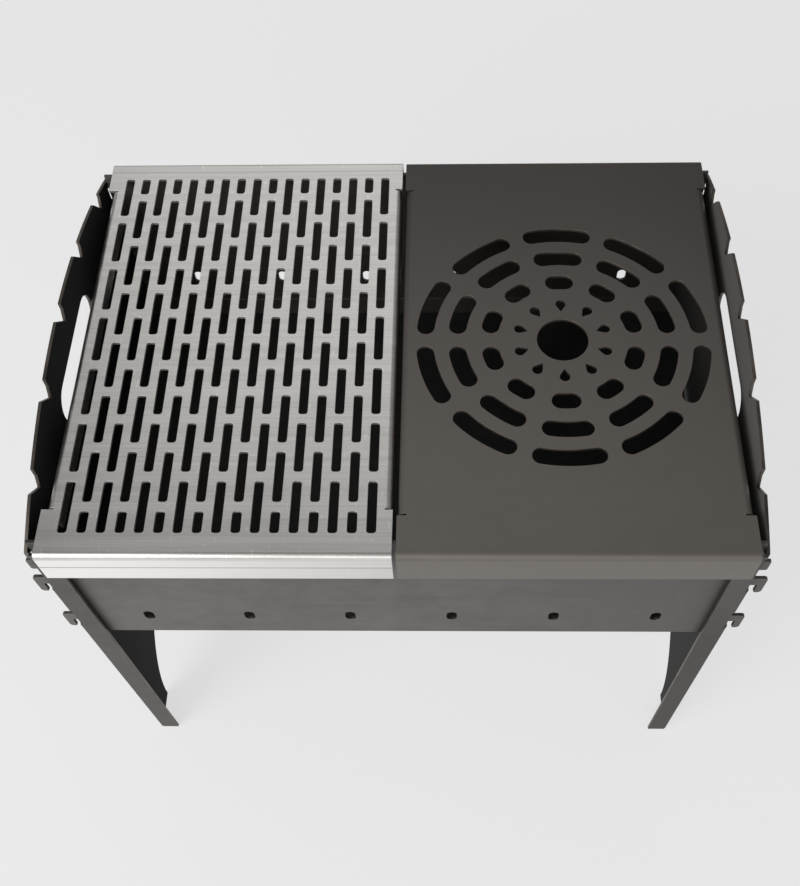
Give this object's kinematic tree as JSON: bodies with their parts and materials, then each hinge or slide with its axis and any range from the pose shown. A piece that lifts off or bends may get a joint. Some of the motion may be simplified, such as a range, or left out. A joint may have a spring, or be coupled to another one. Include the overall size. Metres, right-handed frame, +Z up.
{
  "type": "knock-down charcoal brazier",
  "caption": "Folded sheet-steel charcoal brazier on four legs: hooked wall and end panels, loose floor plate, a slotted grill cover and a ring-slot hob cover.",
  "frame": {"origin": "floor level, middle of the overall footprint", "axes": "+X along the long side towards the ring-slot hob cover, +Y towards the rear, +Z up"},
  "size_m": [0.6452, 0.445, 0.518],
  "materials": {
    "wall_steel": "bare dark hot-rolled steel, satin",
    "end_steel": "bare dark hot-rolled steel, satin",
    "floor_steel": "bare dark steel, matte",
    "brushed_stainless": "brushed stainless along the long side",
    "hob_steel": "bare dark hot-rolled steel, satin"
  },
  "bodies": {
    "walls": {"front_panel": "wall_steel", "rear_panel": "wall_steel"},
    "left_end": {"left_end_panel": "end_steel"},
    "right_end": {"right_end_panel": "end_steel"},
    "ember_floor": {"floor_plate": "floor_steel"},
    "grill_cover": {"slotted_grill_plate": "brushed_stainless"},
    "hob_cover": {"ring_hob_plate": "hob_steel"}
  },
  "joints": [
    {"name": "grill_lift", "type": "slide", "parent": "walls", "child": "grill_cover", "axis": [0, 0, 1], "range_m": [0, 0.15]},
    {"name": "hob_lift", "type": "slide", "parent": "walls", "child": "hob_cover", "axis": [0, 0, 1], "range_m": [0, 0.15]},
    {"name": "floor_lift", "type": "slide", "parent": "walls", "child": "ember_floor", "axis": [0, 0, 1], "range_m": [0, 0.15]},
    {"name": "left_unhook", "type": "slide", "parent": "walls", "child": "left_end", "axis": [0, 0, -1], "range_m": [0, 0.016]},
    {"name": "right_unhook", "type": "slide", "parent": "walls", "child": "right_end", "axis": [0, 0, -1], "range_m": [0, 0.016]}
  ]
}
